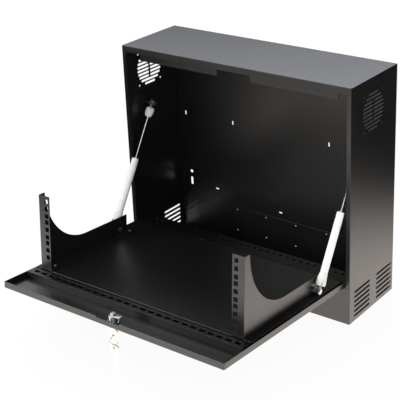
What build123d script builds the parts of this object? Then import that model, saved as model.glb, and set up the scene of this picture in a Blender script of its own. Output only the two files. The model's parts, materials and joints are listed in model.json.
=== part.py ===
from build123d import *
import os
from math import atan2, cos, degrees, hypot, radians, sin, sqrt

# Wall mount rack cabinet with a door that folds down on two hinges and is held by two gas struts.
# The origin is on the back face, midway between the two wall holes.
# +X is to the right seen from the front, +Y goes into the wall, +Z is up.

# Cabinet box; its width comes from the rack brackets and the room beside them
side_room = 31.0
cabinet_height = 505.0
cabinet_depth = 180.0
sheet = 1.2
fold_radius = 1.0
side_lip = 9.5
top_lip = 13.5
lip_return = 8.0
back_flange = 14.0
plinth_height = 81.0
shelf_depth = 62.0
shelf_drop = 10.0
upstand_height = 20.0
panel_flange = 14.0

# Holes in the back panel, with heights from the underside of the cabinet
wall_hole_height = 155.0
wall_hole_spacing = 500.0
wall_hole_diameter = 8.0
wall_slot_drop = 24.0
wall_slot_size = (6.5, 20.0)
upper_slot_height = 300.0
upper_slot_offsets = (126.0, 260.0)
upper_slot_size = (3.5, 10.0)
tie_slot_size = (9.0, 3.2)
tie_slot_side = (176.0, 127.0)
tie_slot_middle_height = 109.0
cover_hole_pitch = 80.0
cover_hole_diameter = 3.2
cover_hole_heights = (36.0, 87.0)
cover_margin = 6.0
cable_entry_size = (200.0, 30.0)

# Fan grille and vent slots in both side walls
fan_hole_spacing = 71.5
fan_hole_diameter = 4.5
fan_centre_from_front = 85.0
fan_centre_from_top = 70.0
grille_radius = 40.5
grille_rows = 10
grille_pitch = 8.1
grille_slot = 5.2
grille_rib = 4.0
grille_split_rows = 6
vent_rows = 6
vent_pitch = 10.8
vent_slot_length = 63.0
vent_slot_height = 5.0
vent_centre_height = 38.5
vent_centres_from_front = (50.5, 141.0)

# Cable tie holes along the plinth shelf
shelf_hole = 7.0
shelf_hole_pitch = 17.0
shelf_hole_from_front = 49.0
shelf_hole_count = 31

# Door stops and strike behind the top lip
stop_gap = 41.0
stop_length = 205.0
stop_height = 33.0
stop_foot = 12.0
strike_width = 50.0
strike_height = 19.0

# Door tray, measured with the door lying flat: u is out from the hinge, v is up from the skin
door_side_gap = 2.0
door_edge_gap = 1.0
door_top_gap = 1.5
door_rim = 13.4
door_raise = 4.0
notch_width = 57.0
notch_depth = 3.0

# Hinges
hinge_offset = 170.0
hinge_length = 60.0
hinge_knuckles = 5
knuckle_gap = 0.3
hinge_leaf = 1.5
hinge_leaf_length = 25.0
hinge_pin_radius = 1.25
hinge_pin_head = 0.8
hinge_clearance = 0.05
hinge_stud_offset = 20.0

# Equipment plate and lacing rail on the door
plate_thickness = 1.5
plate_top = 16.0
plate_start = 8.0
plate_front_room = 87.0
plate_side_gap = 2.3
rail_gap = 4.0
rail_width = 24.0
rail_top = 15.5
rail_hole = (13.0, 9.0)
rail_hole_pitch = 20.0
rail_hole_count = 26

# Rack brackets, three units high
rack_hole_spacing = 465.1
rack_unit = 44.45
rack_hole_step = 15.875
rack_units = 3
rack_hole_size = 9.5
post_overhang = 1.0
post_bottom_margin = 29.0
post_top_margin = 11.0
bracket_sheet = 2.0
web_from_hole = 19.45
flange_from_hole = 8.0
web_rear = 62.0
web_rail_height = 35.0
web_front_depth = 15.0
web_curve_length = 118.0
web_curve_lift = 4.0
base_flange_width = 26.0
base_bolt_inset = 15.0
base_bolt_rear = 6.0
base_bolt_front = 22.0
web_hole_radius = 2.0
web_hole_place = (83.0, 40.0)
bolt_radius = 2.5
bolt_clearance = 0.1
bolt_head_radius = 4.6
bolt_head_height = 3.0
nut_height = 4.0
nut_flats = 8.0
thread_clearance = 0.02

# Gas struts
strut_from_web = 11.0
upper_pivot_from_front = 65.0
upper_pivot_height = 358.0
lower_pivot_u = 87.0
lower_pivot_v = 24.5
rod_radius = 3.0
tube_radius = 7.5
tube_wall = 1.2
guide_length = 12.0
piston_length = 8.0
slide_clearance = 0.1
eye_radius = 6.4
eye_width = 7.0
eye_neck_radius = 2.4
pivot_radius = 3.0
pivot_clearance = 0.05
pivot_head_flats = 11.0
pivot_head_height = 4.0
open_pivot_gap = 0.3
fitting_gap = 11.0
fitting_radius = 9.3
fitting_mouth_radius = 7.6
fitting_belly = (4.0, 9.0)
rod_fitting_length = 22.0
rod_fitting_tail_radius = 5.0
tube_fitting_length = 26.0
tube_fitting_tail_radius = 7.2
travel_margin = 1.5
wall_bracket_sheet = 2.0
wall_bracket_size = (38.0, 46.0)
wall_bracket_round = 5.0
wall_boss_radius = 7.0
wall_boss_height = 3.0
stud_shoulder_radius = 4.2
stud_cap_radius = 5.0
stud_cap_height = 1.5
clip_wire_radius = 0.8
clip_half_width = 10.6
clip_bend = 1.2
clip_turn = 45.0

# Lock, keys and ring
lock_x = 3.0
lock_from_edge = 16.0
lock_body_radius = 9.0
lock_head_radius = 11.5
lock_head_height = 2.5
lock_body_top = 16.0
lock_nut_flats = 23.0
lock_nut_height = 4.5
core_radius = 6.5
core_clearance = 0.08
cam_thickness = 2.0
cam_lift = 0.6
cam_reach = 20.0
cam_width = 12.0
tail_width = 7.0
cam_nut_flats = 10.0
cam_nut_height = 3.5
key_thickness = 2.2
key_blade_width = 7.5
key_bow_width = 22.0
key_bow_length = 19.0
key_bow_drop = 8.0
key_bow_hole = 3.0
key_bow_edge = 6.0
key_bow_round = 6.0
key_depth = 16.0
keyway_clearance = 0.15
ring_radius = 12.0
ring_wire = 0.8
ring_clearance = 0.2
spare_blade_length = 26.0

# Values worked out from the sizes above
web_x = rack_hole_spacing / 2 + web_from_hole
half = web_x + side_room
inner = half - sheet
front = -cabinet_depth
bottom = -wall_hole_height
top = bottom + cabinet_height
plinth_top = bottom + plinth_height
door_half = half - side_lip - door_side_gap
door_length = cabinet_height - plinth_height - top_lip - door_top_gap
barrel_radius = sheet + hinge_leaf
plate_half = door_half - sheet - plate_side_gap
plate_end = door_length - plate_front_room
lock_u = door_length - lock_from_edge
strut_x = web_x + strut_from_web
post_face = plate_end + post_overhang
post_bottom = plate_top
top_hole_v = post_bottom + post_bottom_margin + rack_units * rack_unit - (rack_unit - 2 * rack_hole_step)
post_top = top_hole_v + post_top_margin
rail_start = plate_end + rail_gap
stop_face = front + door_rim + 0.6
upper_y = front + upper_pivot_from_front
upper_z = bottom + upper_pivot_height
key_hole_v = -key_bow_drop - key_bow_length + key_bow_edge
PARTS = {}


def block(x, y, z):
    """Box between two limits along each axis."""
    size = [high - low for low, high in (x, y, z)]
    centre = [(high + low) / 2 for low, high in (x, y, z)]
    return Pos(*centre) * Box(*size)


def flat(x, u, v):
    """Box in the door's own frame, with the hinge axis at u = v = 0."""
    return block(x, (-u[1], -u[0]), v)


def bar(axis, radius, start, end, place=(0, 0, 0)):
    """Round bar along one axis between two points on it."""
    turn = {"x": Rot(Y=90), "y": Rot(X=-90), "z": Rot()}[axis]
    shift = {"x": Pos(start, 0, 0), "y": Pos(0, start, 0), "z": Pos(0, 0, start)}[axis]
    along = Cylinder(radius, end - start, align=(Align.CENTER, Align.CENTER, Align.MIN))
    return Pos(*place) * shift * turn * along


def hexagon(axis, flats, start, end, place=(0, 0, 0)):
    """Hexagonal prism along one axis, such as a nut without its hole."""
    turn = {"x": Rot(Y=90), "y": Rot(X=-90), "z": Rot()}[axis]
    shift = {"x": Pos(start, 0, 0), "y": Pos(0, start, 0), "z": Pos(0, 0, start)}[axis]
    section = RegularPolygon(radius=flats / sqrt(3), side_count=6)
    return Pos(*place) * shift * turn * extrude(section, end - start)


def on_door(shape):
    """Puts a shape from the door's own frame on the open door."""
    return Pos(0, front, plinth_top) * Rot(X=-door_raise) * shape


def both_sides(shape):
    """A shape and its mirror image across the middle of the cabinet."""
    return shape, mirror(shape, Plane.YZ)


def add(name, shape):
    PARTS[name] = shape


def group(shapes):
    """Separate solids kept together in one node."""
    return Compound(children=[solid for shape in shapes for solid in shape.solids()])


def side_openings():
    """Cutter for the fan grille, fan screw holes and vent slots of both side walls."""
    fan_y = front + fan_centre_from_front
    fan_z = top - fan_centre_from_top
    cuts = []
    for row in range(grille_rows):
        rise = (row - (grille_rows - 1) / 2) * grille_pitch
        reach = sqrt(grille_radius**2 - rise**2)
        if abs(rise) < grille_split_rows / 2 * grille_pitch:
            length = reach - grille_rib / 2
            offset = (reach + grille_rib / 2) / 2
            for side in (-1, 1):
                cuts.append(Pos(fan_y + side * offset, fan_z + rise) * SlotOverall(length, grille_slot))
        else:
            cuts.append(Pos(fan_y, fan_z + rise) * SlotOverall(2 * reach, grille_slot))
    for hole in GridLocations(fan_hole_spacing, fan_hole_spacing, 2, 2):
        cuts.append(Pos(fan_y, fan_z) * hole * Circle(fan_hole_diameter / 2))
    for centre in vent_centres_from_front:
        for row in range(vent_rows):
            rise = (row - (vent_rows - 1) / 2) * vent_pitch
            place = Pos(front + centre, bottom + vent_centre_height + rise)
            cuts.append(place * SlotOverall(vent_slot_length, vent_slot_height))
    return extrude(Plane.YZ * Sketch(children=cuts), half + 1, both=True)


def make_shell():
    """Top and sides folded from one sheet, with lips round the door opening."""
    blank = block((-half, half), (front, 0), (bottom, top))
    folds = blank.edges().filter_by(Axis.Z).group_by(Axis.Y)[0]
    folds += blank.edges().filter_by(Axis.Y).group_by(Axis.Z)[-1]
    folds += blank.edges().filter_by(Axis.X).group_by(Axis.Z)[-1].group_by(Axis.Y)[0]
    blank = fillet(folds, fold_radius)
    mouth = half - side_lip
    lip_z = top - top_lip
    shell = blank - block((-inner, inner), (front + sheet, 1), (bottom - 1, top - sheet))
    shell -= block((-mouth, mouth), (front - 1, front + sheet + 1), (bottom - 1, lip_z))
    shell -= block((-half - 1, half + 1), (front - 1, front + sheet), (bottom - 1, plinth_top))
    for side in both_sides(block((mouth, mouth + sheet), (front, front + lip_return), (plinth_top, lip_z))):
        shell += side
    shell += block((-mouth - sheet, mouth + sheet), (front, front + lip_return), (lip_z, lip_z + sheet))
    for seam in both_sides(block((mouth, half + 1), (front - 1, front + sheet), (lip_z - 0.4, lip_z))):
        shell -= seam
    return shell - side_openings()


def back_cuts():
    """Cutter for the wall holes and slots of the back panel."""
    cuts = []
    for side in (-1, 1):
        wall_x = side * wall_hole_spacing / 2
        cuts.append(Pos(wall_x, 0) * Circle(wall_hole_diameter / 2))
        cuts.append(Pos(wall_x, -wall_slot_drop) * Rot(Z=90) * SlotOverall(wall_slot_size[1], wall_slot_size[0]))
        for offset in upper_slot_offsets:
            place = Pos(side * offset, bottom + upper_slot_height)
            cuts.append(place * Rot(Z=90) * SlotOverall(upper_slot_size[1], upper_slot_size[0]))
        cuts.append(Pos(side * tie_slot_side[0], bottom + tie_slot_side[1]) * SlotOverall(*tie_slot_size))
    cuts.append(Pos(0, bottom + tie_slot_middle_height) * SlotOverall(*tie_slot_size))
    return extrude(Plane.XZ * Sketch(children=cuts), 2 * back_flange, both=True)


def cover_holes():
    """Cutter for the two rows of small holes through the cover and the back panel."""
    cuts = []
    for height in cover_hole_heights:
        for column in range(4):
            offset = (column - 1.5) * cover_hole_pitch
            cuts.append(Pos(offset, bottom + height) * Circle(cover_hole_diameter / 2))
    return extrude(Plane.XZ * Sketch(children=cuts), 2 * back_flange, both=True)


def make_back():
    """Back panel: a shallow tray that stands between the sides of the shell."""
    low = bottom + sheet
    panel = block((-inner, inner), (-back_flange, 0), (low, top - sheet))
    panel -= block((-inner + sheet, inner - sheet), (-back_flange - 1, -sheet), (low - 1, top - 2 * sheet))
    entry_z = bottom + sum(cover_hole_heights) / 2
    entry = block(
        (-cable_entry_size[0] / 2, cable_entry_size[0] / 2),
        (-sheet - 1, 1),
        (entry_z - cable_entry_size[1] / 2, entry_z + cable_entry_size[1] / 2),
    )
    return panel - back_cuts() - cover_holes() - entry


def make_cover():
    """Removable plate over the cable entry, in front of the back panel."""
    reach = 1.5 * cover_hole_pitch + 8 * cover_margin
    low, high = cover_hole_heights
    plate = block(
        (-reach, reach), (-2 * sheet, -sheet), (bottom + low - 2 * cover_margin, bottom + high + cover_margin)
    )
    return plate - cover_holes()


def make_floor():
    """Bottom sheet with a low upstand along the back panel."""
    floor = block((-inner, inner), (front + sheet, -sheet), (bottom, bottom + sheet))
    floor += block(
        (-inner + sheet, inner - sheet), (-2 * sheet, -sheet), (bottom, bottom + upstand_height)
    )
    floor += block((-inner, inner), (-sheet, 0), (bottom, bottom + sheet))
    return floor


def hinge_places():
    return (-hinge_offset, hinge_offset)


def make_plinth():
    """Fixed front panel below the door, with a perforated shelf flange at its top."""
    face = block((-half, half), (front, front + sheet), (bottom, plinth_top))
    corners = face.edges().filter_by(Axis.Z).group_by(Axis.Y)[0]
    corners += face.edges().filter_by(Axis.X).group_by(Axis.Z)[-1].group_by(Axis.Y)[0]
    plinth = fillet(corners, 0.9 * sheet)
    for side in both_sides(
        block((inner - sheet, inner), (front, front + panel_flange), (bottom + sheet, plinth_top))
    ):
        plinth += side
    plinth += block((-inner, inner), (front + sheet / 2, front + shelf_depth), (plinth_top - sheet, plinth_top))
    rear = front + shelf_depth
    plinth += block((-inner, inner), (rear - sheet, rear), (plinth_top - shelf_drop, plinth_top))
    for place in hinge_places():
        reach = hinge_length / 2 + 2 * knuckle_gap + hinge_pin_head
        plinth -= block(
            (place - reach, place + reach),
            (front - 1, front + barrel_radius + 2 * knuckle_gap),
            (plinth_top - barrel_radius - 2 * knuckle_gap, plinth_top + 1),
        )
    row = GridLocations(shelf_hole_pitch, 1, shelf_hole_count, 1)
    holes = Sketch(children=[place * Rectangle(shelf_hole, shelf_hole) for place in row])
    cutter = extrude(Pos(0, front + shelf_hole_from_front, plinth_top) * holes, 2 * sheet, both=True)
    return plinth - cutter


def make_stop():
    """Angle strip that hangs from the top panel and stops the closed door."""
    roof = top - sheet
    strip = block((stop_gap, stop_gap + stop_length), (stop_face, stop_face + sheet), (top - stop_height, roof))
    foot = block((stop_gap, stop_gap + stop_length), (stop_face, stop_face + stop_foot), (roof - sheet, roof))
    return strip + foot


def make_strike():
    """Short angle that the lock cam closes behind."""
    roof = top - sheet
    reach = strike_width / 2
    plate = block((-reach, reach), (stop_face, stop_face + sheet), (top - strike_height, roof))
    return plate + block((-reach, reach), (stop_face, stop_face + stop_foot), (roof - sheet, roof))


def make_leaf(knuckles):
    """Hinge leaf that hangs below its barrel: the axis is the X axis and the leaf lies behind it."""
    step = hinge_length / hinge_knuckles
    low = -hinge_length / 2
    relief = -barrel_radius - knuckle_gap
    leaf = block((low, -low), (sheet, barrel_radius), (-hinge_leaf_length, relief))
    for index in knuckles:
        start = low + index * step + (knuckle_gap / 2 if index else 0)
        end = low + (index + 1) * step - (knuckle_gap / 2 if index < hinge_knuckles - 1 else 0)
        leaf += block((start, end), (sheet, barrel_radius), (relief, 0))
        leaf += bar("x", barrel_radius, start, end)
    leaf -= bar("x", hinge_pin_radius + hinge_clearance, low - 1, -low + 1)
    for side in (-1, 1):
        place = (side * hinge_stud_offset, 0, -hinge_leaf_length * 0.6)
        leaf -= bar("y", bolt_radius * 0.8 + bolt_clearance, 0, 2 * barrel_radius, place)
    return leaf


def make_leaf_nuts():
    """Weld studs with their nuts, which hold one leaf on its sheet."""
    nuts = []
    for side in (-1, 1):
        place = (side * hinge_stud_offset, 0, -hinge_leaf_length * 0.6)
        stud = bar("y", bolt_radius * 0.8, sheet, barrel_radius + nut_height, place)
        nuts.append(stud + hexagon("y", nut_flats * 0.9, barrel_radius, barrel_radius + nut_height * 0.8, place))
    return nuts


def make_hinge_pin():
    """Hinge pin with a flat head at each end."""
    reach = hinge_length / 2
    pin = bar("x", hinge_pin_radius, -reach - hinge_pin_head, reach + hinge_pin_head)
    for side in (-1, 1):
        start, end = sorted((side * (reach + 0.05), side * (reach + hinge_pin_head)))
        pin += bar("x", hinge_pin_radius + 0.6, start, end)
    return pin


def make_tray():
    """Door skin with its four rims, the lock hole, the rim notch and the hinge reliefs."""
    tray = flat((-door_half, door_half), (door_edge_gap, door_length), (0, door_rim))
    folds = tray.edges().filter_by(Axis.Z)
    folds += tray.faces().sort_by(Axis.Z)[0].edges()
    tray = fillet(folds, fold_radius)
    tray -= flat(
        (-door_half + sheet, door_half - sheet), (door_edge_gap + sheet, door_length - sheet), (sheet, door_rim + 1)
    )
    tray -= flat(
        (lock_x - notch_width / 2, lock_x + notch_width / 2),
        (door_length - 2 * sheet, door_length + 1),
        (door_rim - notch_depth, door_rim + 1),
    )
    for place in hinge_places():
        reach = hinge_length / 2 + 2 * knuckle_gap + hinge_pin_head
        tray -= flat(
            (place - reach, place + reach), (0, barrel_radius + 2 * knuckle_gap), (-1, barrel_radius + 1)
        )
    return tray - bar("z", lock_body_radius + bolt_clearance, -1, 2 * sheet, (lock_x, -lock_u, 0))


def make_plate():
    """Equipment plate with its front and rear edges folded down to the skin."""
    across = (-plate_half, plate_half)
    plate = flat(across, (plate_start, plate_end), (plate_top - plate_thickness, plate_top))
    plate += flat(across, (plate_start, plate_start + plate_thickness), (sheet, plate_top))
    plate += flat(across, (plate_end - plate_thickness, plate_end), (sheet, plate_top))
    for place in hinge_places():
        reach = hinge_length / 2 + 1
        plate -= flat(
            (place - reach, place + reach),
            (plate_start - 1, plate_start + plate_thickness + 1),
            (0, plate_top - 2 * plate_thickness),
        )
    for place in bolt_places():
        plate -= bar("z", bolt_radius + bolt_clearance, 0, 2 * plate_top, place)
    return plate


def make_rail():
    """Lacing rail: a perforated channel in front of the equipment plate."""
    across = (-plate_half, plate_half)
    rail = flat(across, (rail_start, rail_start + rail_width), (sheet, rail_top))
    rail -= flat(
        (across[0] - 1, across[1] + 1),
        (rail_start + sheet, rail_start + rail_width - sheet),
        (0, rail_top - sheet),
    )
    row = GridLocations(rail_hole_pitch, 1, rail_hole_count, 1)
    holes = Sketch(children=[place * Rectangle(*rail_hole) for place in row])
    middle = rail_start + rail_width / 2
    return rail - extrude(Pos(0, -middle, rail_top) * holes, 2 * sheet, both=True)


def rack_hole_drops():
    """Distances of the nine square holes below the top one: three to a rack unit."""
    drops = []
    for unit in range(rack_units):
        for step in range(3):
            drops.append(unit * rack_unit + step * rack_hole_step)
    return drops


def bolt_places():
    """Bolts that hold the two brackets on the plate, in the door's own frame."""
    places = []
    for side in (-1, 1):
        for u in (web_rear + base_bolt_rear, post_face - base_bolt_front):
            places.append((side * (web_x - base_bolt_inset), -u, 0))
    return places


def make_bracket():
    """Right rack bracket: post with square holes, web with a swept cut-out, and bolted base."""
    web = flat((web_x - bracket_sheet, web_x), (web_rear, post_face), (post_bottom, post_top))
    curve_end = post_face - web_front_depth
    curve_start = curve_end - web_curve_length
    curve_top = post_top + web_curve_lift
    rise = curve_top - post_bottom - web_rail_height
    sweep_cut = Ellipse(web_curve_length, rise)
    cutter = extrude(Plane.YZ * Pos(-curve_start, curve_top) * sweep_cut, web_x + 1)
    cutter += flat((0, web_x + 1), (web_rear - 1, curve_start), (post_bottom + web_rail_height, post_top + 1))
    web -= cutter
    inner_edge = rack_hole_spacing / 2 - flange_from_hole
    post = flat((inner_edge, web_x), (post_face - bracket_sheet, post_face), (post_bottom, post_top))
    for drop in rack_hole_drops():
        place = Pos(rack_hole_spacing / 2, -post_face, top_hole_v - drop)
        post -= place * Box(rack_hole_size, 4 * bracket_sheet, rack_hole_size)
    base = flat((web_x - base_flange_width, web_x), (web_rear, post_face), (post_bottom, post_bottom + bracket_sheet))
    bracket = web + post + base
    for place in bolt_places():
        bracket -= bar("z", bolt_radius + bolt_clearance, 0, 2 * plate_top, place)
    hole_u, hole_v = web_hole_place
    bracket -= bar("x", web_hole_radius, 0, half, (0, -hole_u, hole_v))
    return bracket - bar("x", pivot_radius + bolt_clearance, 0, half, (0, -lower_pivot_u, lower_pivot_v))


def make_bracket_bolts():
    bolts = []
    for place in bolt_places():
        seat = plate_top + bracket_sheet
        bolt = bar("z", bolt_radius, plate_top - plate_thickness - nut_height - 1, seat + 0.5, place)
        head = bar("z", bolt_head_radius, seat, seat + bolt_head_height, place)
        bolts.append(bolt + fillet(head.edges().group_by(Axis.Z)[-1], bolt_head_height / 2))
    return bolts


def make_bracket_nuts():
    nuts = []
    for place in bolt_places():
        end = plate_top - plate_thickness
        nut = hexagon("z", nut_flats, end - nut_height, end, place)
        nuts.append(nut - bar("z", bolt_radius + thread_clearance, 0, plate_top, place))
    return nuts


def make_lower_stud():
    """Shouldered stud on the right bracket web, which carries the lower eye of the strut."""
    place = (0, -lower_pivot_u, lower_pivot_v)
    eye_face = strut_x - eye_width / 2 - 2 * pivot_clearance
    cap_face = strut_x + eye_width / 2 + 2 * pivot_clearance
    stud = bar("x", pivot_radius, web_x - bracket_sheet - nut_height - 1, cap_face, place)
    stud += hexagon("x", pivot_head_flats, web_x, web_x + pivot_head_height, place)
    stud += bar("x", stud_shoulder_radius, web_x + pivot_head_height, eye_face, place)
    return stud + bar("x", stud_cap_radius, cap_face, cap_face + stud_cap_height, place)


def make_lower_nut():
    place = (0, -lower_pivot_u, lower_pivot_v)
    face = web_x - bracket_sheet
    nut = hexagon("x", pivot_head_flats, face - nut_height, face, place)
    return nut - bar("x", pivot_radius + thread_clearance, 0, half, place)


def strut_ends():
    """Length and tilt of an open strut, and its length with the door closed."""
    turn = radians(door_raise)
    low_y = front - lower_pivot_u * cos(turn) + lower_pivot_v * sin(turn)
    low_z = plinth_top + lower_pivot_u * sin(turn) + lower_pivot_v * cos(turn)
    run, drop = low_y - upper_y, upper_z - low_z
    closed_run = front + lower_pivot_v - upper_y
    closed_drop = upper_z - plinth_top - lower_pivot_u
    return hypot(run, drop), degrees(atan2(run, drop)), hypot(closed_run, closed_drop)


def on_strut(shape):
    """Puts a shape from the strut's own frame, which hangs from its upper pivot, on the right strut."""
    return Pos(strut_x, upper_y, upper_z) * Rot(X=strut_ends()[1]) * shape


def make_eye():
    """Eye at the end of a strut, with its bore on the X axis and its neck hanging below."""
    neck_end = fitting_gap + fitting_belly[0] + clip_wire_radius
    eye = bar("x", eye_radius, -eye_width / 2, eye_width / 2)
    eye += bar("z", eye_neck_radius, -neck_end, -eye_radius + 1)
    return eye - bar("x", pivot_radius + pivot_clearance, -eye_width, eye_width)


def make_fitting(length, tail_radius, tail_bore):
    """Tapered plastic end that hides the joint between an eye and its rod or tube."""
    belly_start, belly_end = fitting_belly
    profile = Polyline(
        (0, -fitting_gap),
        (fitting_mouth_radius, -fitting_gap),
        (fitting_radius, -fitting_gap - belly_start),
        (fitting_radius, -fitting_gap - belly_end),
        (tail_radius, -fitting_gap - length),
        (0, -fitting_gap - length),
        close=True,
    )
    fitting = revolve(Plane.XZ * make_face(profile), Axis.Z)
    clip_z = -fitting_gap - sum(fitting_belly) / 2
    fitting -= bar("z", eye_neck_radius + thread_clearance, clip_z, 0)
    fitting -= bar("z", tail_bore + thread_clearance, -2 * length, clip_z)
    hole = bar("x", clip_wire_radius + thread_clearance, -2 * fitting_radius, 2 * fitting_radius)
    return fitting - Pos(0, 0, clip_z) * Rot(Z=clip_turn) * hole


def make_clip():
    """Wire clip through a fitting, with both legs bent towards the eye."""
    clip_z = -fitting_gap - sum(fitting_belly) / 2
    path = FilletPolyline(
        (-clip_half_width, 0, -fitting_gap + 2),
        (-clip_half_width, 0, clip_z),
        (clip_half_width, 0, clip_z),
        (clip_half_width, 0, -fitting_gap + 2),
        radius=clip_bend,
    )
    wire = sweep(Plane(path @ 0, z_dir=path % 0) * Circle(clip_wire_radius), path)
    return Rot(Z=clip_turn) * wire


def add_strut_parts():
    length, _, closed_length = strut_ends()
    tube_start = fitting_gap + rod_fitting_length + length - closed_length + travel_margin
    tube_end = length - fitting_gap - tube_fitting_length
    rod_end = tube_start + guide_length + 1 + piston_length
    core_start = fitting_gap + fitting_belly[1] + clip_wire_radius
    upend = Pos(0, 0, -length) * Rot(X=180)
    rod = bar("z", rod_radius, -rod_end, -core_start)
    wall_gap = inner - wall_bracket_sheet - wall_boss_height - open_pivot_gap - strut_x
    head_face = -eye_width / 2 - pivot_clearance
    eye_bolt = bar("x", pivot_radius, head_face, wall_gap)
    eye_bolt += hexagon("x", pivot_head_flats, head_face - pivot_head_height, head_face)
    piston = bar("z", tube_radius - tube_wall - slide_clearance, -rod_end, -rod_end + piston_length)
    piston -= bar("z", rod_radius + thread_clearance, -2 * tube_start, 0)
    tube = bar("z", tube_radius, -tube_end, -tube_start)
    tube = fillet(tube.edges().group_by(Axis.Z)[-1], 1.0)
    tube -= bar("z", tube_radius - tube_wall, -tube_end + 2 * tube_wall, -tube_start + 1)
    tube += bar("z", rod_radius, core_start - length, -tube_end)
    guide = bar("z", tube_radius - tube_wall, -tube_start - guide_length, -tube_start - 0.5)
    guide -= bar("z", rod_radius + slide_clearance, -2 * tube_start, 0)
    pieces = {
        "rod": rod,
        "rod_eye": make_eye(),
        "rod_fitting": make_fitting(rod_fitting_length, rod_fitting_tail_radius, rod_radius),
        "rod_clip": make_clip(),
        "eye_bolt": eye_bolt,
        "piston": piston,
        "tube": tube,
        "guide": guide,
        "tube_eye": upend * make_eye(),
        "tube_fitting": upend * make_fitting(tube_fitting_length, tube_fitting_tail_radius, rod_radius),
        "tube_clip": upend * make_clip(),
    }
    for name, piece in pieces.items():
        right, left = both_sides(on_strut(piece))
        add(f"strut_right_{name}", right)
        add(f"strut_left_{name}", left)


def make_wall_bracket():
    """Plate on the inner side wall with the boss that takes the strut's eye bolt."""
    wide, tall = (size / 2 for size in wall_bracket_size)
    face = inner - wall_bracket_sheet
    plate = block((face, inner), (upper_y - wide, upper_y + wide), (upper_z - tall, upper_z + tall))
    plate = fillet(plate.edges().filter_by(Axis.X), wall_bracket_round)
    return plate + bar("x", wall_boss_radius, face - wall_boss_height, face, (0, upper_y, upper_z))


def make_lock_body():
    """Lock housing through the skin, with its round head outside."""
    body = bar("z", lock_body_radius, -lock_head_height, lock_body_top)
    head = bar("z", lock_head_radius, -lock_head_height, 0)
    head = chamfer(head.edges().group_by(Axis.Z)[0], lock_head_height * 0.4)
    return body + head - bar("z", core_radius + core_clearance, -lock_body_top, 2 * lock_body_top)


def make_core():
    """Turning core with its keyway and the square tail that carries the cam."""
    cam_seat = lock_body_top + cam_lift
    core = bar("z", core_radius, -lock_head_height - 0.5, cam_seat)
    core += block(
        (-tail_width / 2, tail_width / 2), (-tail_width / 2, tail_width / 2), (cam_seat, cam_seat + cam_thickness)
    )
    core += bar("z", bolt_radius, cam_seat, cam_seat + cam_thickness + cam_nut_height + 1)
    keyway = block(
        (-key_blade_width / 2 - keyway_clearance, key_blade_width / 2 + keyway_clearance),
        (-key_thickness / 2 - keyway_clearance, key_thickness / 2 + keyway_clearance),
        (-lock_head_height - 1, key_depth - lock_head_height),
    )
    return core - keyway


def make_cam():
    """Cam arm that points to the right while the door is unlocked."""
    seat = lock_body_top + cam_lift
    arm = Pos((cam_reach - cam_width / 2) / 2, 0) * SlotOverall(cam_reach + cam_width / 2, cam_width)
    cam = Pos(0, 0, seat) * extrude(arm, cam_thickness)
    hole = tail_width / 2 + keyway_clearance
    return cam - block((-hole, hole), (-hole, hole), (seat - 1, seat + cam_thickness + 1))


def make_cam_nut():
    seat = lock_body_top + cam_lift + cam_thickness
    nut = hexagon("z", cam_nut_flats, seat, seat + cam_nut_height)
    return nut - bar("z", bolt_radius + thread_clearance, 0, 2 * lock_body_top)


def make_key(blade_length):
    """Flat key: its bow is below and its blade goes up from the bow's shoulder."""
    bow = Rectangle(key_bow_width, key_bow_length)
    bow = fillet(bow.vertices(), key_bow_round)
    bow = Pos(0, -key_bow_drop - key_bow_length / 2) * bow
    neck = Pos(0, -key_bow_drop / 2 - 1) * Rectangle(key_blade_width + 2, key_bow_drop)
    blade = Pos(0, (blade_length - 2) / 2) * Rectangle(key_blade_width, blade_length + 2)
    hole = Pos(0, key_hole_v) * Circle(key_bow_hole)
    outline = bow + neck + blade - hole
    return extrude(Plane.XZ * outline, key_thickness / 2, both=True)


def add_lock_parts():
    """Lock on the middle of the door's free edge, with its key, ring and spare key."""
    at_lock = Pos(lock_x, -lock_u, 0)
    add("lock_body", on_door(at_lock * make_lock_body()))
    nut = hexagon("z", lock_nut_flats, sheet, sheet + lock_nut_height)
    nut -= bar("z", lock_body_radius + thread_clearance, 0, lock_body_top)
    add("lock_nut", on_door(at_lock * nut))
    add("lock_core", on_door(at_lock * make_core()))
    add("lock_cam", on_door(at_lock * make_cam()))
    add("cam_nut", on_door(at_lock * make_cam_nut()))
    blade = key_depth - lock_head_height - 1
    below_head = Pos(0, 0, -lock_head_height)
    key = make_key(blade)
    add("key", on_door(at_lock * below_head * key))
    hang = on_door(at_lock * below_head * Pos(0, 0, key_hole_v)).position
    seat = key_bow_hole - ring_wire - ring_clearance
    plumb = Pos(*hang) * Pos(0, 0, -seat)
    ring = plumb * Pos(0, 0, -ring_radius) * Rot(Y=90) * Torus(ring_radius, ring_wire)
    add("key_ring", ring)
    turned = Rot(X=180) * Pos(0, 0, -key_hole_v) * make_key(spare_blade_length)
    add("spare_key", plumb * Pos(0, 0, -2 * ring_radius - seat) * turned)


def build_cabinet():
    add("cabinet_shell", make_shell())
    add("back_panel", make_back())
    add("cable_entry_cover", make_cover())
    add("floor_panel", make_floor())
    add("plinth_panel", make_plinth())
    right_stop, left_stop = both_sides(make_stop())
    add("door_stop_right", right_stop)
    add("door_stop_left", left_stop)
    add("lock_strike", make_strike())
    right_bracket, left_bracket = both_sides(make_wall_bracket())
    add("strut_right_wall_bracket", right_bracket)
    add("strut_left_wall_bracket", left_bracket)


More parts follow.
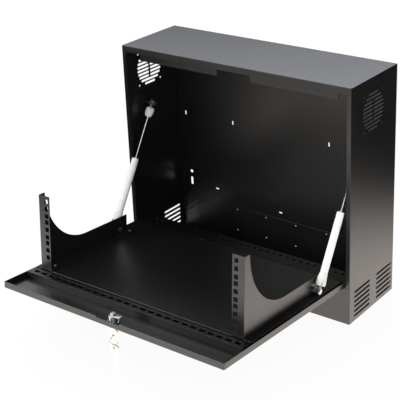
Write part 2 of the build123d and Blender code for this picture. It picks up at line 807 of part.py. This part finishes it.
def build_hinges():
    fixed = make_leaf(range(0, hinge_knuckles, 2))
    moving = Rot(X=90) * mirror(make_leaf(range(1, hinge_knuckles, 2)), Plane.XY)
    fixed_nuts = []
    moving_nuts = []
    for name, place in zip(("left", "right"), hinge_places()):
        at_axis = Pos(place, front, plinth_top)
        add(f"hinge_{name}_fixed_leaf", at_axis * fixed)
        add(f"hinge_{name}_door_leaf", on_door(Pos(place, 0, 0) * moving))
        add(f"hinge_{name}_pin", at_axis * make_hinge_pin())
        fixed_nuts += [at_axis * nut for nut in make_leaf_nuts()]
        for nut in make_leaf_nuts():
            moving_nuts.append(on_door(Pos(place, 0, 0) * Rot(X=90) * mirror(nut, Plane.XY)))
    add("hinge_fixed_nuts", group(fixed_nuts))
    add("hinge_door_nuts", group(moving_nuts))


def build_door():
    add("door_tray", on_door(make_tray()))
    add("equipment_plate", on_door(make_plate()))
    add("lacing_rail", on_door(make_rail()))
    right, left = both_sides(make_bracket())
    add("rack_bracket_right", on_door(right))
    add("rack_bracket_left", on_door(left))
    add("bracket_bolts", group([on_door(bolt) for bolt in make_bracket_bolts()]))
    add("bracket_nuts", group([on_door(nut) for nut in make_bracket_nuts()]))
    add("lower_pivot_studs", group([on_door(stud) for stud in both_sides(make_lower_stud())]))
    add("lower_pivot_nuts", group([on_door(nut) for nut in both_sides(make_lower_nut())]))


build_cabinet()
build_hinges()
build_door()
add_lock_parts()
add_strut_parts()

os.makedirs("parts", exist_ok=True)
for node, shape in PARTS.items():
    export_step(shape, f"parts/{node}.step")
print(len(PARTS), "nodes; strut open length, tilt and closed length", [round(v, 3) for v in strut_ends()])
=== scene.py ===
# %% [markdown]
# # A wall mount rack cabinet
#
# The cabinet is a shallow box of folded sheet steel. Its door folds down on two hinges, is held
# level by two gas struts, and carries the equipment plate and the two rack brackets.
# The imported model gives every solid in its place, in metres. This script dresses it: sheet pieces
# get rounded edges, fasteners and strut ends get their fine shapes, and every piece gets a finish.

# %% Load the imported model
import json
from math import atan2, cos, pi, radians, sin, tau

import bmesh
import bpy
from mathutils import Matrix, Vector


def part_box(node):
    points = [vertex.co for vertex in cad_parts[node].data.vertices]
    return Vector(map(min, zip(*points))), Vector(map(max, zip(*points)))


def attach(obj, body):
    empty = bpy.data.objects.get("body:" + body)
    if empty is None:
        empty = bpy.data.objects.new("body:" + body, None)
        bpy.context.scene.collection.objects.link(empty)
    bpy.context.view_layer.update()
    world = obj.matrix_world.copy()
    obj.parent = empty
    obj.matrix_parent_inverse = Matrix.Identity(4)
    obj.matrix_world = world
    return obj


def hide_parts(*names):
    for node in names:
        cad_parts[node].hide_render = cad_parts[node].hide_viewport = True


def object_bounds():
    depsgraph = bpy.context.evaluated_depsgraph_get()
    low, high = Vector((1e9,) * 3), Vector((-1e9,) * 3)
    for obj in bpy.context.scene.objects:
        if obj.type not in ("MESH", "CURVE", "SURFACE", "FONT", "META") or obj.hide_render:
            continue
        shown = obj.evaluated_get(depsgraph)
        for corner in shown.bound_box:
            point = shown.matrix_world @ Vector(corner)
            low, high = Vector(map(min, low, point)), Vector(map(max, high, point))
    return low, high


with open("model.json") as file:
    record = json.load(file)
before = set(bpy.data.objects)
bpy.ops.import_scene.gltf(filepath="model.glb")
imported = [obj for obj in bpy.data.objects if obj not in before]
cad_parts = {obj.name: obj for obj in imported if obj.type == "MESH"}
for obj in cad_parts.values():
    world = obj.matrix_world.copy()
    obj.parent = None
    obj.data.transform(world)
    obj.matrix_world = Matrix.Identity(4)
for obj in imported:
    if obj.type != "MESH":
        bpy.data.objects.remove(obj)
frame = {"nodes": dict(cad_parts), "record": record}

cad_box = [list(corner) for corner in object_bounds()]
print("cad box", cad_box)

# %% Joints, bodies and material slots
record = frame["record"]
joints = {joint["name"]: joint for joint in record["behaviour"]["joints"]}
body_of_node = {
    node: body for body, nodes in record["behaviour"]["bodies"].items() for node in nodes
}
slot_of_node = {part["node"]: part["material_slot"] for part in record["subparts"]}
mm = 0.001

# %% [markdown]
# ## Camera
#
# A photograph fixes where the camera stood. Known sizes, such as the spacing of rack holes, were
# matched to their places in the picture, and that gave the camera's place, its turn and its lens.
# The picture was cropped off centre, which the two shift values copy.

# %% Place the camera
camera_data = bpy.data.cameras.new("product_camera")
camera = bpy.data.objects.new("product_camera", camera_data)
bpy.context.collection.objects.link(camera)
right = Vector((0.806733, 0.590031, -0.032329))
down = Vector((0.190891, -0.311996, -0.930709))
forward = Vector((-0.559234, 0.744663, -0.364328))
turn = Matrix((right, -down, -forward)).transposed().to_4x4()
camera.matrix_world = Matrix.Translation((1.27785, -1.90530, 1.03000)) @ turn
bpy.context.scene.camera = camera
print("camera is", round(camera.matrix_world.translation.length, 3), "m from the origin")

# %% Set the lens
focal_pixels = 1122.431
picture_pixels = 400
camera_data.sensor_width = 36.0
camera_data.lens = focal_pixels / picture_pixels * camera_data.sensor_width
camera_data.shift_x = -0.06
camera_data.shift_y = -0.15
camera_data.clip_end = 50
print("lens", round(camera_data.lens, 2), "mm")

# %% [markdown]
# ## Small tools for materials
#
# A finish is a few nodes: a pattern in object space, a ramp that turns it into a small range of
# roughness or colour, and a bump. Object space is used because every piece sits at the origin, so
# the grain has the same size on all of them and stays put when the door moves.

# %% Start a material and link its nodes
def start_material(name):
    material = bpy.data.materials.new(name)
    material.use_nodes = True
    nodes = material.node_tree.nodes
    shader = nodes["Principled BSDF"]
    coordinates = nodes.new("ShaderNodeTexCoord")
    return material, shader, coordinates.outputs["Object"]


def connect(material, source, target):
    material.node_tree.links.new(source, target)

# %% Noise and its range
def noise(material, coordinates, scale, detail=3.0, stretch=None):
    nodes = material.node_tree.nodes
    texture = nodes.new("ShaderNodeTexNoise")
    texture.inputs["Scale"].default_value = scale
    texture.inputs["Detail"].default_value = detail
    if stretch:
        mapping = nodes.new("ShaderNodeMapping")
        mapping.inputs["Scale"].default_value = stretch
        connect(material, coordinates, mapping.inputs["Vector"])
        coordinates = mapping.outputs["Vector"]
    connect(material, coordinates, texture.inputs["Vector"])
    return texture.outputs["Fac"]


def ramp(material, source, low, high, start=0.35, end=0.65):
    node = material.node_tree.nodes.new("ShaderNodeMapRange")
    node.inputs["From Min"].default_value = start
    node.inputs["From Max"].default_value = end
    node.inputs["To Min"].default_value = low
    node.inputs["To Max"].default_value = high
    connect(material, source, node.inputs["Value"])
    return node.outputs["Result"]

# %% Colour between two tones, and bump
def two_tone(material, source, first, second):
    node = material.node_tree.nodes.new("ShaderNodeMix")
    node.data_type = "RGBA"
    node.inputs["A"].default_value = (*first, 1)
    node.inputs["B"].default_value = (*second, 1)
    connect(material, source, node.inputs["Factor"])
    return node.outputs["Result"]


def bump(material, height, strength, distance, below=None):
    node = material.node_tree.nodes.new("ShaderNodeBump")
    node.inputs["Strength"].default_value = strength
    node.inputs["Distance"].default_value = distance
    connect(material, height, node.inputs["Height"])
    if below:
        connect(material, below, node.inputs["Normal"])
    return node.outputs["Normal"]

# %% [markdown]
# ## Black powder coat
#
# The sheet metal has a fine textured powder coat. Powder melts into a skin of tiny bumps, a
# millimetre or so across, over slower waves. The bumps spread the gloss, so the coat looks grey
# where it mirrors a bright wall at a low angle and nearly black where it faces the dark inside.

# %% Powder coat
coat_dark = (0.0070, 0.0070, 0.0074)
coat_light = (0.0095, 0.0092, 0.0088)
coat_roughness = (0.30, 0.35)


def make_powder_coat():
    material, shader, coordinates = start_material("black_powder_coat")
    grain = noise(material, coordinates, scale=1100.0, detail=2.0)
    waves = noise(material, coordinates, scale=140.0, detail=2.0)
    clouds = noise(material, coordinates, scale=9.0)
    tone = two_tone(material, ramp(material, clouds, 0, 1), coat_dark, coat_light)
    connect(material, tone, shader.inputs["Base Color"])
    connect(material, ramp(material, waves, *coat_roughness), shader.inputs["Roughness"])
    fine = bump(material, grain, strength=0.16, distance=0.0002)
    slow = bump(material, waves, strength=0.05, distance=0.0004, below=fine)
    connect(material, slow, shader.inputs["Normal"])
    shader.inputs["IOR"].default_value = 1.6
    return material


powder_coat = make_powder_coat()
print("coat roughness", coat_roughness)

# %% [markdown]
# ## Metals and plastics
#
# Fasteners are zinc plated: a cool bright metal with faint cloudy patches. The strut rods are
# ground and chromed, so fine scratches run round them. The cylinders are painted light grey, the
# strut ends are moulded in white nylon, and the keys are nickel plated.

# %% Metals
def make_metal(name, colours, roughness, patch_scale, brush=None, strength=0.08):
    material, shader, coordinates = start_material(name)
    patches = noise(material, coordinates, patch_scale, detail=4.0)
    tone = two_tone(material, ramp(material, patches, 0, 1), *colours)
    connect(material, tone, shader.inputs["Base Color"])
    connect(material, ramp(material, patches, *roughness), shader.inputs["Roughness"])
    lines = noise(material, coordinates, scale=900.0, detail=2.0, stretch=brush)
    relief = bump(material, lines, strength, distance=0.0001)
    connect(material, relief, shader.inputs["Normal"])
    shader.inputs["Metallic"].default_value = 1.0
    return material


zinc_plate = make_metal(
    "bright_zinc_plate", ((0.56, 0.62, 0.62), (0.72, 0.76, 0.75)), (0.30, 0.44), 260.0
)
chromed_rod = make_metal(
    "chromed_rod", ((0.80, 0.81, 0.83), (0.88, 0.88, 0.89)), (0.10, 0.18), 150.0, (1, 1, 9), 0.04
)
nickel = make_metal(
    "brushed_nickel", ((0.56, 0.555, 0.54), (0.64, 0.63, 0.61)), (0.30, 0.42), 300.0, (1, 8, 1)
)
print("metals", zinc_plate.name, chromed_rod.name, nickel.name)

# %% Paint and nylon
def make_coating(name, colours, roughness, grain_scale, strength=0.1):
    material, shader, coordinates = start_material(name)
    patches = noise(material, coordinates, scale=60.0)
    grain = noise(material, coordinates, grain_scale, detail=2.0)
    tone = two_tone(material, ramp(material, patches, 0, 1), *colours)
    connect(material, tone, shader.inputs["Base Color"])
    connect(material, ramp(material, grain, *roughness), shader.inputs["Roughness"])
    relief = bump(material, grain, strength, distance=0.0002)
    connect(material, relief, shader.inputs["Normal"])
    return material


cylinder_paint = make_coating(
    "light_grey_paint", ((0.86, 0.87, 0.88), (0.91, 0.91, 0.91)), (0.26, 0.34), 500.0, 0.05
)
white_nylon = make_coating(
    "white_nylon", ((0.74, 0.74, 0.70), (0.82, 0.82, 0.78)), (0.42, 0.55), 800.0
)
black_nylon = make_coating(
    "black_nylon", ((0.020, 0.020, 0.020), (0.032, 0.032, 0.031)), (0.40, 0.52), 800.0
)
print("coatings", cylinder_paint.name, white_nylon.name, black_nylon.name)

# %% Give every solid its finish
finish_of_slot = {
    "powder_coat": powder_coat,
    "zinc_plate": zinc_plate,
    "chromed_rod": chromed_rod,
    "nickel": nickel,
    "cylinder_paint": cylinder_paint,
    "white_nylon": white_nylon,
    "black_nylon": black_nylon,
}
for node, piece in frame["nodes"].items():
    piece.data.materials.clear()
    piece.data.materials.append(finish_of_slot[slot_of_node[node]])
print("finishes", len(finish_of_slot), "on", len(frame["nodes"]), "nodes")

# %% [markdown]
# ## Rounded sheet edges
#
# Punched and folded sheet never has a sharp corner: the coat rounds it, and the round catches a
# thin line of light. A copy of each sheet solid is merged, its flat faces are joined up again, and
# a small bevel goes along every sharp edge. The copy then stands in for the solid: it rides on
# the same body, keeps the same material slot, and replaces the solid in the render.

# %% Put a shape in the place of a solid
def add_piece(name, shape, node, smooth_angle=None):
    mesh = bpy.data.meshes.new(name)
    for face in shape.faces:
        face.smooth = smooth_angle is not None
    shape.to_mesh(mesh)
    shape.free()
    piece = bpy.data.objects.new(name, mesh)
    bpy.context.collection.objects.link(piece)
    mesh.materials.append(finish_of_slot[slot_of_node[node]])
    if smooth_angle is not None:
        mesh.set_sharp_from_angle(angle=radians(smooth_angle))
    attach(piece, body_of_node[node])
    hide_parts(node)

# %% Copy a solid with rounded edges
def rounded_copy(node, width, segments, sharp_angle):
    shape = bmesh.new()
    shape.from_mesh(frame["nodes"][node].data)
    bmesh.ops.remove_doubles(shape, verts=shape.verts, dist=1e-6)
    bmesh.ops.dissolve_limit(
        shape, angle_limit=radians(1), verts=shape.verts, edges=shape.edges, delimit={"NORMAL"}
    )
    sharp = [
        edge for edge in shape.edges
        if len(edge.link_faces) == 2 and edge.calc_face_angle(0) > radians(sharp_angle)
    ]
    bmesh.ops.bevel(
        shape,
        geom=sharp,
        offset=width * mm,
        offset_type="OFFSET",
        segments=segments,
        profile=0.5,
        affect="EDGES",
        clamp_overlap=True,
        material=-1,
    )
    print(node, "edges rounded", len(sharp))
    return shape

# %% Round the sheet pieces
edge_width = 0.35
wide_edges = {"lacing_rail": 0.55, "equipment_plate": 0.7, "plinth_panel": 0.55}
sheet_nodes = [node for node, slot in slot_of_node.items() if slot == "powder_coat"]
for node in sheet_nodes:
    width = wide_edges.get(node, edge_width)
    add_piece(f"{node}_skin", rounded_copy(node, width, segments=2, sharp_angle=35), node)
print("sheet pieces", len(sheet_nodes))

# %% [markdown]
# ## Turned shapes
#
# Rods, tubes, ends and heads are round, so each is drawn as half of its outline and spun round its
# axis, as it would be turned on a lathe. Points that lie on the axis are merged afterwards, which
# closes the ends. The result is then moved to its place with one matrix.

# %% Spin an outline
def lathe(outline, steps):
    shape = bmesh.new()
    corners = [shape.verts.new((radius * mm, 0, height * mm)) for radius, height in outline]
    for first, second in zip(corners, corners[1:]):
        shape.edges.new((first, second))
    if outline[0] == outline[-1]:
        bmesh.ops.remove_doubles(shape, verts=shape.verts, dist=1e-7)
    bmesh.ops.spin(
        shape,
        geom=shape.verts[:] + shape.edges[:],
        axis=(0, 0, 1),
        cent=(0, 0, 0),
        angle=tau,
        steps=steps,
        use_merge=True,
    )
    bmesh.ops.remove_doubles(shape, verts=shape.verts, dist=1e-6)
    bmesh.ops.recalc_face_normals(shape, faces=shape.faces)
    return shape

# %% Move and join shapes
def move_to(shape, matrix):
    bmesh.ops.transform(shape, matrix=matrix, verts=shape.verts)
    if matrix.determinant() < 0:
        bmesh.ops.reverse_faces(shape, faces=shape.faces)
    return shape


def join(shapes):
    whole = bmesh.new()
    for shape in shapes:
        part = bpy.data.meshes.new("part")
        shape.to_mesh(part)
        shape.free()
        whole.from_mesh(part)
        bpy.data.meshes.remove(part)
    return whole

# %% [markdown]
# ## Gas struts
#
# A strut is a cylinder of gas with a chromed rod that slides into it. Each end has a zinc eye on
# its pivot, and a tapered nylon end with moulded ribs hides the joint between eye and strut. The
# frame of a strut starts at its upper pivot, and its Z axis runs up along the strut.

# %% Frames of the two struts
def strut_frame(side):
    outward = 1 if side == "right" else -1
    low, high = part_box(f"strut_{side}_wall_bracket")
    eye_low, eye_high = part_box(f"strut_{side}_rod_eye")
    pivot = ((eye_low[0] + eye_high[0]) / 2, (low[1] + high[1]) / 2, (low[2] + high[2]) / 2)
    up = -Vector(joints[f"{side}_strut_slide"]["axis"])
    across = Vector((outward, 0, 0))
    depth = up.cross(across) * outward
    axes = Matrix((across, depth, up)).transposed().to_4x4()
    return Matrix.Translation(pivot) @ axes


def strut_length(side):
    top_pivot = strut_frame(side).translation
    low_pivot = Vector(joints[f"{side}_strut_swing"]["pos_m"])
    return (top_pivot.yz - low_pivot.yz).length / mm


print("open strut", round(strut_length("right"), 2), "mm between pivots")

# %% Outlines of the nylon ends, as (radius, distance from the pivot end)
fitting_start = 11.0
barrel_profile = (
    (6.4, 0.0), (7.4, 0.7), (8.8, 3.0), (9.3, 5.0), (9.3, 7.5), (9.2, 10.0), (9.0, 12.5),
    (8.6, 15.0), (7.9, 17.5), (6.9, 19.5), (5.6, 21.0), (4.4, 21.8), (4.0, 22.0),
)
bell_profile = (
    (8.4, 0.0), (9.4, 0.7), (9.9, 2.5), (10.0, 5.0), (9.9, 8.0), (9.6, 11.0), (9.3, 14.0),
    (9.0, 17.0), (8.7, 20.0), (8.4, 23.0), (8.2, 24.8), (7.9, 25.6), (7.2, 26.0),
)
print("nylon ends are", barrel_profile[-1][1], "and", bell_profile[-1][1], "mm long")

# %% A nylon end with moulded ribs
rib_count = 14
rib_depth = 0.075
rib_start = 4.0
rib_fade = 3.0
stem_radius = 2.6
ribbed_from_radius = 4.2
rod_hole_radius = 3.05


def ribbed_end(profile):
    length = profile[-1][1]
    end = -fitting_start - length
    outline = [(stem_radius, -fitting_start)]
    outline += [(radius, -fitting_start - depth) for radius, depth in profile]
    outline += [(rod_hole_radius, end), (rod_hole_radius, end + 3.0), (stem_radius, end + 4.0)]
    outline.append(outline[0])
    shape = lathe(outline, steps=6 * rib_count)
    for vertex in shape.verts:
        radius = vertex.co.xy.length / mm
        depth = -vertex.co.z / mm - fitting_start
        if radius > ribbed_from_radius and rib_start + 0.5 < depth < length - 1.0:
            wave = 0.5 + 0.5 * cos(rib_count * atan2(vertex.co.y, vertex.co.x))
            fade = min(1.0, (depth - rib_start) / rib_fade, (length - depth) / rib_fade)
            vertex.co.x *= 1 - rib_depth * fade * wave
            vertex.co.y *= 1 - rib_depth * fade * wave
    return shape

# %% Put the nylon ends on both struts
for side in ("left", "right"):
    at_top = strut_frame(side)
    to_low_end = Matrix.Translation((0, 0, -strut_length(side) * mm)) @ Matrix.Rotation(pi, 4, "X")
    rod_node, tube_node = f"strut_{side}_rod_fitting", f"strut_{side}_tube_fitting"
    rod_end = move_to(ribbed_end(barrel_profile), at_top)
    add_piece(f"{rod_node}_ribbed", rod_end, rod_node, smooth_angle=30)
    tube_end = move_to(ribbed_end(bell_profile), at_top @ to_low_end)
    add_piece(f"{tube_node}_ribbed", tube_end, tube_node, smooth_angle=30)
print("nylon ends made with", rib_count, "ribs")

# %% Cylinders with a rolled end and a crimped bead
cylinder_length = 122.77
outer_radius = 7.5
bead_radius = 7.1
bore_radius = 6.3
for side in ("left", "right"):
    tube_low = -(strut_length(side) - fitting_start - bell_profile[-1][1])
    tube_high = tube_low + cylinder_length
    rod_hole = (3.2, tube_high - 1.2)
    outline = [
        (0, tube_low + 2.4),
        (bore_radius, tube_low + 2.4),
        (bore_radius, tube_high - 2.0),
        rod_hole,
        (3.4, tube_high - 0.2),
        (5.6, tube_high),
        (6.9, tube_high - 0.5),
        (outer_radius, tube_high - 1.8),
        (outer_radius, tube_high - 11.0),
        (bead_radius, tube_high - 12.0),
        (bead_radius, tube_high - 12.8),
        (outer_radius, tube_high - 13.8),
        (outer_radius, tube_low + 1.4),
        (bead_radius, tube_low + 0.4),
        (6.2, tube_low),
        (0, tube_low),
    ]
    node = f"strut_{side}_tube"
    tube = move_to(lathe(outline, steps=64), strut_frame(side))
    add_piece(f"{node}_rolled", tube, node, smooth_angle=35)
print("cylinders are", cylinder_length, "mm long")

# %% Zinc eyes and eye bolts with rounded rims
def round_fastener(node, width, segments):
    shape = rounded_copy(node, width, segments, sharp_angle=50)
    add_piece(f"{node}_finished", shape, node, smooth_angle=35)


for side in ("left", "right"):
    round_fastener(f"strut_{side}_rod_eye", 1.3, 4)
    round_fastener(f"strut_{side}_tube_eye", 1.3, 4)
    round_fastener(f"strut_{side}_eye_bolt", 0.5, 2)

# %% [markdown]
# ## Fasteners
#
# Button head screws hold the two brackets on the equipment plate. A head is a low dome with a
# hexagonal socket. The dome is spun, its open top is bridged to a six sided ring, and that ring is
# pushed down to make the socket.

# %% Places on the door
door_hinge_place = Vector(joints["door_hinge"]["pos_m"])
door_raise = radians(4.0)
door_frame = Matrix.Translation(door_hinge_place) @ Matrix.Rotation(-door_raise, 4, "X")


def on_door(x, out, up):
    return door_frame @ Matrix.Translation((x * mm, -out * mm, up * mm))


print("hinge line at", [round(value, 4) for value in door_hinge_place])

# %% A button head screw
head_radius = 4.6
head_height = 2.8
socket_radius = 1.5
socket_depth = 0.6 * head_height
shank_radius = 2.5
shank_length = 8.0
rim_height = 0.3
dome_angle = radians(62)
dome_steps = 6


def button_screw():
    outline = [
        (0, -shank_length),
        (shank_radius, -shank_length),
        (shank_radius, 0),
        (head_radius - 0.2, 0),
        (head_radius, rim_height),
    ]
    for step in range(1, dome_steps + 1):
        angle = step / dome_steps * dome_angle
        rise = (head_height - rim_height) * sin(angle) / sin(dome_angle)
        outline.append((head_radius * cos(angle), rim_height + rise))
    shape = lathe(outline, steps=24)
    rim = [edge for edge in shape.edges if edge.is_boundary]
    top = Matrix.Translation((0, 0, head_height * mm))
    socket = bmesh.ops.create_circle(shape, segments=6, radius=socket_radius * mm, matrix=top)
    ring = {edge for vertex in socket["verts"] for edge in vertex.link_edges}
    bmesh.ops.bridge_loops(shape, edges=rim + list(ring))
    pushed = bmesh.ops.extrude_edge_only(shape, edges=list(ring))
    low = [item for item in pushed["geom"] if isinstance(item, bmesh.types.BMVert)]
    bmesh.ops.translate(shape, verts=low, vec=(0, 0, -socket_depth * mm))
    bmesh.ops.contextual_create(shape, geom=low)
    bmesh.ops.recalc_face_normals(shape, faces=shape.faces)
    return shape

# %% Put four screws through the bracket feet
screw_x = 237.0
screw_rows = (68.0, 301.0)
foot_top = 18.0
screws = [
    move_to(button_screw(), on_door(x, out, foot_top))
    for x in (-screw_x, screw_x)
    for out in screw_rows
]
print("bracket screws", len(screws))
add_piece("bracket_screws", join(screws), "bracket_bolts", smooth_angle=35)

# %% [markdown]
# ## Lock
#
# The lock is a threaded zinc barrel through the skin of the door, held by a large hexagonal nut.
# The thread is only drawn as rings, because at this size nobody can see the pitch climb.

# %% Threaded lock barrel
lock_place = Vector(joints["lock_turn"]["pos_m"])
lock_x = lock_place.x / mm
lock_out = (lock_place - door_hinge_place).length / mm
bore, thread_root, thread_crest = 6.58, 8.45, 9.0
thread_start, thread_end, thread_pitch = 6.0, 15.0, 1.3
outline = [
    (bore, -2.5), (10.4, -2.5), (11.2, -2.2), (11.5, -1.4), (11.5, 0),
    (thread_crest, 0), (thread_crest, thread_start - 0.1),
]
height = thread_start
while height < thread_end:
    outline += [(thread_crest, height), (thread_root, height + 0.6), (thread_crest, height + 1.2)]
    height += thread_pitch
outline += [(8.6, 16.0), (bore, 16.0), (bore, -2.5)]
lock_barrel = move_to(lathe(outline, steps=48), on_door(lock_x, lock_out, 0.0))
add_piece("lock_barrel_threaded", lock_barrel, "lock_body", smooth_angle=30)
print("lock at", round(lock_x, 1), "mm across and", round(lock_out, 1), "mm out on the door")

# %% Round the nuts, the cam, the pivots and the keys
for node in ("lock_nut", "cam_nut", "lock_cam", "lock_core", "lower_pivot_studs", "key", "spare_key"):
    round_fastener(node, 0.3, 2)

# %% [markdown]
# ## Split ring
#
# A split ring is a wire wound twice round. A small disc is spun through two turns while it climbs
# by one wire thickness for each, so the two turns lie on each other.

# %% Wind the wire
ring_radius = 12.0
wire_radius = 0.4
ring_turns = 2
steps_per_turn = 56


def split_ring(centre):
    shape = bmesh.new()
    at_start = Matrix.Translation((0, ring_radius * mm, 0)) @ Matrix.Rotation(pi / 2, 4, "Y")
    start = bmesh.ops.create_circle(
        shape, cap_ends=True, segments=10, radius=wire_radius * mm, matrix=at_start
    )
    bmesh.ops.translate(shape, verts=start["verts"], vec=(0, 0, -wire_radius * mm))
    steps = ring_turns * steps_per_turn
    bmesh.ops.spin(
        shape,
        geom=shape.faces[:],
        axis=(0, 0, 1),
        cent=(0, 0, 0),
        dvec=(0, 0, 2 * wire_radius * mm / steps),
        angle=tau * ring_turns,
        steps=steps,
    )
    bmesh.ops.recalc_face_normals(shape, faces=shape.faces)
    upright = Matrix.Translation(centre) @ Matrix.Rotation(pi / 2, 4, "Y")
    return move_to(shape, upright)


ring_low, ring_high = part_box("key_ring")
ring_centre = (Vector(ring_low) + Vector(ring_high)) / 2
add_piece("split_ring", split_ring(ring_centre), "key_ring", smooth_angle=60)
print("ring centre", [round(value, 4) for value in ring_centre])

# %% [markdown]
# ## Floor and room
#
# The picture has a plain white ground. The floor is almost plain white to the camera and keeps a
# share of the cabinet's soft shadow. Reflections see the floor in another way: as a bright pool
# near the cabinet that fades out, which gives the low parts of the coat their warm sheen and
# leaves the inside dark. The room is white too, but nearly black in reflections.

# %% A value that depends on who looks
def light_path_value(nodes, links, when_camera, when_glossy, otherwise):
    rays = nodes.new("ShaderNodeLightPath")
    glossy = nodes.new("ShaderNodeMix")
    seen = nodes.new("ShaderNodeMix")
    glossy.inputs["A"].default_value = otherwise
    if isinstance(when_glossy, float):
        glossy.inputs["B"].default_value = when_glossy
    else:
        links.new(when_glossy, glossy.inputs["B"])
    seen.inputs["B"].default_value = when_camera
    links.new(rays.outputs["Is Glossy Ray"], glossy.inputs["Factor"])
    links.new(rays.outputs["Is Camera Ray"], seen.inputs["Factor"])
    links.new(glossy.outputs["Result"], seen.inputs["A"])
    return seen.outputs["Result"]

# %% Strength of the floor's glow by distance
glow_centre = (0.02, -0.50, cad_box[0][2])
glow_radii = (0.62, 1.20)
glow_strengths = (2.1, 0.03)


def glow_by_distance(material, coordinates):
    nodes = material.node_tree.nodes
    away = nodes.new("ShaderNodeVectorMath")
    away.operation = "DISTANCE"
    away.inputs[1].default_value = glow_centre
    connect(material, coordinates, away.inputs[0])
    fall = ramp(material, away.outputs["Value"], *glow_strengths, *glow_radii)
    fall.node.interpolation_type = "SMOOTHSTEP"
    return fall

# %% Material of the floor
def make_ground():
    material, shader, coordinates = start_material("pale_floor")
    nodes = material.node_tree.nodes
    links = material.node_tree.links
    shader.inputs["Base Color"].default_value = (0.82, 0.82, 0.82, 1)
    shader.inputs["Roughness"].default_value = 0.9
    glow = nodes.new("ShaderNodeEmission")
    fall = glow_by_distance(material, coordinates)
    connect(material, light_path_value(nodes, links, 1.0, fall, 0.0), glow.inputs["Strength"])
    rays = nodes.new("ShaderNodeLightPath")
    warmth = two_tone(material, rays.outputs["Is Glossy Ray"], (1.0, 1.0, 1.0), (1.0, 0.92, 0.86))
    connect(material, warmth, glow.inputs["Color"])
    mixer = nodes.new("ShaderNodeMixShader")
    connect(material, light_path_value(nodes, links, 0.94, 1.0, 0.0), mixer.inputs["Fac"])
    connect(material, shader.outputs["BSDF"], mixer.inputs[1])
    connect(material, glow.outputs["Emission"], mixer.inputs[2])
    connect(material, mixer.outputs["Shader"], nodes["Material Output"].inputs["Surface"])
    return material

# %% Add a piece of the stage
def add_stage_piece(name, shape, material):
    mesh = bpy.data.meshes.new(name)
    shape.to_mesh(mesh)
    shape.free()
    mesh.materials.append(material)
    piece = bpy.data.objects.new(name, mesh)
    bpy.context.collection.objects.link(piece)
    return piece


# %% Lay the floor
floor_radius = 6.0
floor_drop = 0.0005
floor_shape = bmesh.new()
bmesh.ops.create_circle(floor_shape, cap_ends=True, segments=96, radius=floor_radius)
floor_place = (0, -0.2, cad_box[0][2] - floor_drop)
bmesh.ops.translate(floor_shape, verts=floor_shape.verts, vec=floor_place)
add_stage_piece("floor", floor_shape, make_ground())
print("floor at", round(floor_place[2], 4))

# %% White room
world = bpy.data.worlds.new("white_room")
bpy.context.scene.world = world
world.use_nodes = True
room_nodes, room_links = world.node_tree.nodes, world.node_tree.links
room = room_nodes["Background"]
room.inputs["Color"].default_value = (1, 1, 1, 1)
room_strength = light_path_value(room_nodes, room_links, 1.0, 0.04, 1.0)
room_links.new(room_strength, room.inputs["Strength"])
print("room", world.name)

# %% [markdown]
# ## Lamps and a black flag
#
# Four soft lamps light the cabinet: a wide cool one behind that grazes the top panel, one low in
# front at the left, a small one that catches the front edges, and a weak one near the camera. A
# sheet of black cloth at the left stands in the way of reflections on the equipment plate. The
# camera and the diffuse light pass it by.

# %% Hang the black flag
flag_place = (-0.34, -0.135, 0.095)
flag_size = (0.50, 0.57)
flag_shape = bmesh.new()
bmesh.ops.create_grid(flag_shape, x_segments=1, y_segments=1, size=0.5)
bmesh.ops.scale(flag_shape, vec=(*flag_size, 1.0), verts=flag_shape.verts)
move_to(flag_shape, Matrix.Translation(flag_place) @ Matrix.Rotation(pi / 2, 4, "Y"))
black_cloth, cloth_shader, cloth_place = start_material("black_cloth")
weave = noise(black_cloth, cloth_place, scale=400.0)
connect(black_cloth, ramp(black_cloth, weave, 0.90, 0.98), cloth_shader.inputs["Roughness"])
cloth_shader.inputs["Base Color"].default_value = (0.004, 0.004, 0.004, 1)
flag = add_stage_piece("black_flag", flag_shape, black_cloth)
flag.visible_camera = False
flag.visible_diffuse = False
print("flag hung at", flag_place)

# %% Soft lamps
def add_lamp(name, position, target, size, brightness, colour=(1.0, 1.0, 1.0)):
    data = bpy.data.lights.new(name, "AREA")
    data.shape = "RECTANGLE"
    data.size, data.size_y = size
    data.energy = brightness * pi * size[0] * size[1]
    data.color = colour
    lamp = bpy.data.objects.new(name, data)
    bpy.context.collection.objects.link(lamp)
    lamp.location = position
    lamp.rotation_mode = "QUATERNION"
    lamp.rotation_quaternion = (Vector(target) - Vector(position)).to_track_quat("-Z", "Y")
    lamp.visible_camera = False
    print(name, round(data.energy, 1), "W")


cool = (0.90, 0.93, 1.0)
warm = (1.0, 0.98, 0.94)
add_lamp("rear_softbox", (-1.40, 1.80, 2.20), (0, -0.1, 0.35), (3.4, 1.8), 3.6, cool)
add_lamp("front_softbox", (-1.5, -2.3, 0.72), (0, -0.3, 0.0), (1.2, 0.8), 10.0, warm)
add_lamp("edge_softbox", (-1.3, -1.3, 1.9), (0, -0.4, 0.0), (0.7, 0.4), 5.0)
add_lamp("camera_softbox", (1.9, -2.2, 2.0), (0, -0.2, 0.0), (1.4, 1.4), 2.0)

# %% [markdown]
# ## Last steps
#
# The standard view keeps the white of the ground.

# %% Set the view
bpy.context.scene.view_settings.view_transform = "Standard"
